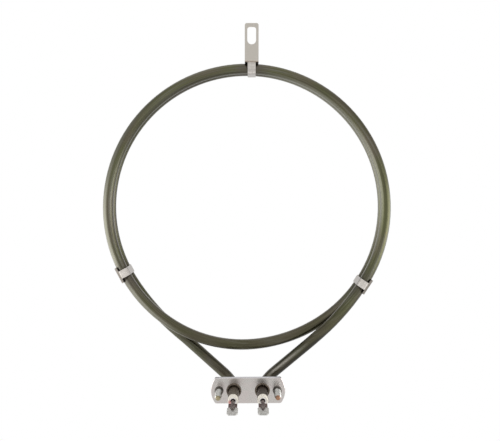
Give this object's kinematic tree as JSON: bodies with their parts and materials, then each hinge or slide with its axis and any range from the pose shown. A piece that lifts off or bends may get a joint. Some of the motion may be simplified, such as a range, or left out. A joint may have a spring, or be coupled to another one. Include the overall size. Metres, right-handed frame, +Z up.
{
  "type": "oven heating element",
  "caption": "Round tubular oven heating element wound into a double ring, with a flange plate, studs, push-on tabs, clips and a slotted hanger.",
  "frame": {"origin": "middle of the flange plate's seating face, level with the two terminals' axes", "axes": "+X to the right seen from the terminals' side, +Z up from the flange to the hanger, +Y away from the terminals, into the oven"},
  "size_m": [0.1824, 0.054, 0.236],
  "materials": {
    "sheath": "olive brown heat-tinted stainless steel, satin",
    "coil_wire": "drawn resistance wire",
    "flange": "bright pressed steel",
    "strip": "plain rolled steel strip",
    "bush": "dark brown heat-tinted steel",
    "stud": "zinc plated, with tinted tips",
    "pin": "dark tinted steel",
    "magnesia": "packed powder, matt",
    "seal": "cured sealing compound, matt",
    "bead": "unglazed cream ceramic",
    "tab": "plated sheet"
  },
  "bodies": {
    "root": {"sheath_tube": "sheath", "resistance_coil": "coil_wire", "flange_plate": "flange", "hanger_bracket": "strip", "clip_left": "strip", "clip_right": "strip", "flange_bush_left": "bush", "stud_left": "stud", "terminal_pin_left": "pin", "magnesia_filling_left": "magnesia", "end_seal_left": "seal", "insulator_left": "bead", "tab_terminal_left": "tab", "flange_bush_right": "bush", "stud_right": "stud", "terminal_pin_right": "pin", "magnesia_filling_right": "magnesia", "end_seal_right": "seal", "insulator_right": "bead", "tab_terminal_right": "tab"}
  },
  "joints": []
}
